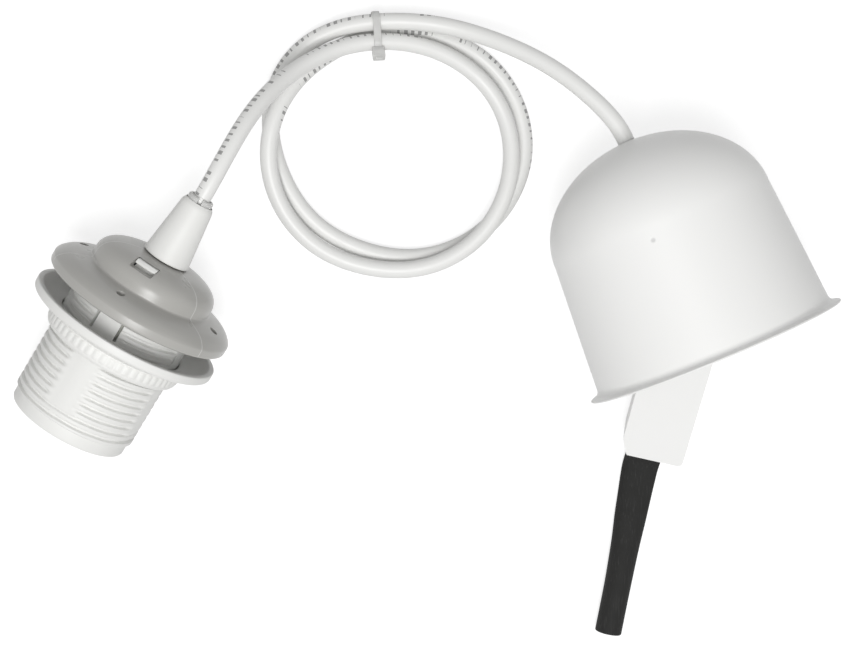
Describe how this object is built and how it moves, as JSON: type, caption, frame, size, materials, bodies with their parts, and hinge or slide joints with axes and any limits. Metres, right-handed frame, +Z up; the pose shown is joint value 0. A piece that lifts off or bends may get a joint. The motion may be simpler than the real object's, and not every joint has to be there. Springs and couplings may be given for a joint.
{
  "type": "pendant cord set",
  "caption": "Pendant lamp cord set lying down: threaded lamp holder with knurled shade ring and cap, round cord coiled and tied, and a domed ceiling rose with a terminal box.",
  "frame": {"origin": "on the plane the set lies on, under the middle of the box round its rigid pieces (the free cord and its tie apart)", "axes": "+Z up; +X from the lamp holder towards the ceiling rose; +Y from the terminal box's tube towards the cord's loops"},
  "size_m": [0.2526, 0.2045, 0.0821],
  "materials": {
    "holder_white": "smooth, slightly glossy",
    "cap_grey": "smooth, glossy",
    "rose_white": "smooth, satin",
    "ivory": "matte",
    "frosted": "translucent nylon",
    "cord_sheath": "smooth, satin",
    "black_tube": "matte, soft",
    "brown_wire": "matte",
    "blue_wire": "matte",
    "brass": "bright",
    "steel": "plated"
  },
  "bodies": {
    "root": {"threaded_sleeve": "holder_white", "shade_ring": "holder_white", "holder_cap": "cap_grey", "cord_grip_cone": "holder_white", "cord_grip_collet": "frosted", "holder_insert": "ivory", "screw_shell": "brass", "centre_contact": "brass", "side_contact": "brass", "holder_cord_tail": "cord_sheath", "holder_clamp_live": "brass", "holder_clamp_screw_live": "steel", "holder_lead_live": "brown_wire", "holder_clamp_neutral": "brass", "holder_clamp_screw_neutral": "steel", "holder_lead_neutral": "blue_wire", "ceiling_rose": "rose_white", "rose_grip_bush": "frosted", "rose_cord_tail": "cord_sheath", "hanging_plate": "ivory", "cord_saddle": "ivory", "saddle_screw_1": "steel", "saddle_screw_2": "steel", "terminal_box_base": "rose_white", "terminal_box_lid": "rose_white", "terminal_strip": "ivory", "terminal_barrel_1": "brass", "terminal_barrel_2": "brass", "terminal_screw_1": "steel", "terminal_screw_2": "steel", "terminal_screw_3": "steel", "terminal_screw_4": "steel", "heat_tube": "black_tube", "cable_tie": "frosted", "cord": "cord_sheath", "rose_lead_live": "brown_wire", "rose_lead_neutral": "blue_wire"}
  },
  "joints": []
}
